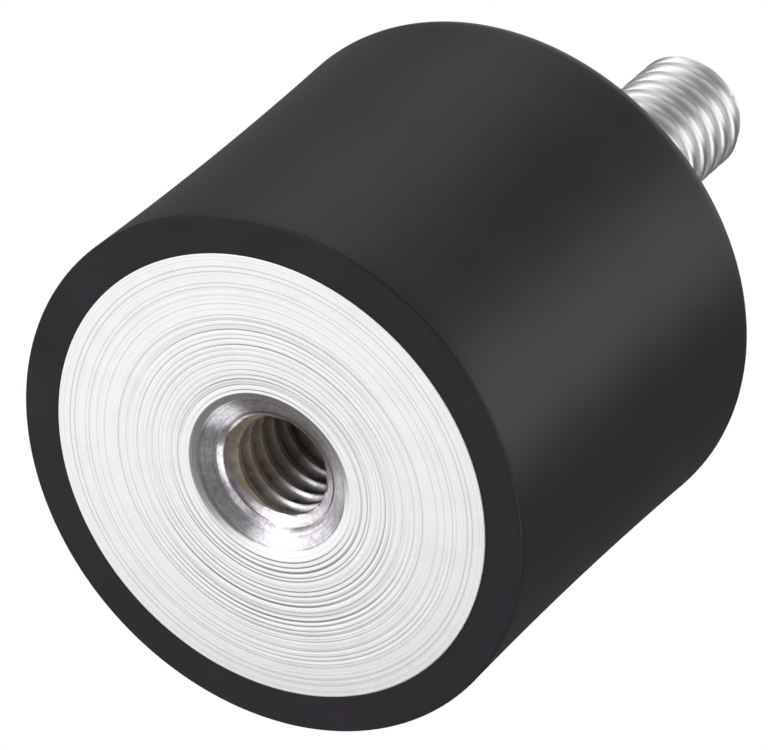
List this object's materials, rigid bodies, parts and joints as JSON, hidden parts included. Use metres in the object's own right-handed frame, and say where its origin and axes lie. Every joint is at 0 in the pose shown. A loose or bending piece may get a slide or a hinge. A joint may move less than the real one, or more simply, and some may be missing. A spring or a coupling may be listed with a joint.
{
  "type": "bobbin vibration mount",
  "caption": "Cylindrical rubber vibration mount with a tapped metal disc in one end and a threaded metal stud standing out of the other.",
  "frame": {"origin": "centre of the metal face at the tapped end, which the part stands on", "axes": "+Z along the part's axis, from the tapped end to the stud"},
  "size_m": [0.035, 0.035, 0.0545],
  "materials": {
    "rubber": "moulded, satin",
    "turned_metal": "face turned, fine rings",
    "plate_metal": "plated, satin",
    "stud_metal": "plated, bright"
  },
  "bodies": {
    "root": {"rubber_body": "rubber", "tapped_insert": "turned_metal", "stud_plate": "plate_metal", "threaded_stud": "stud_metal"}
  },
  "joints": []
}
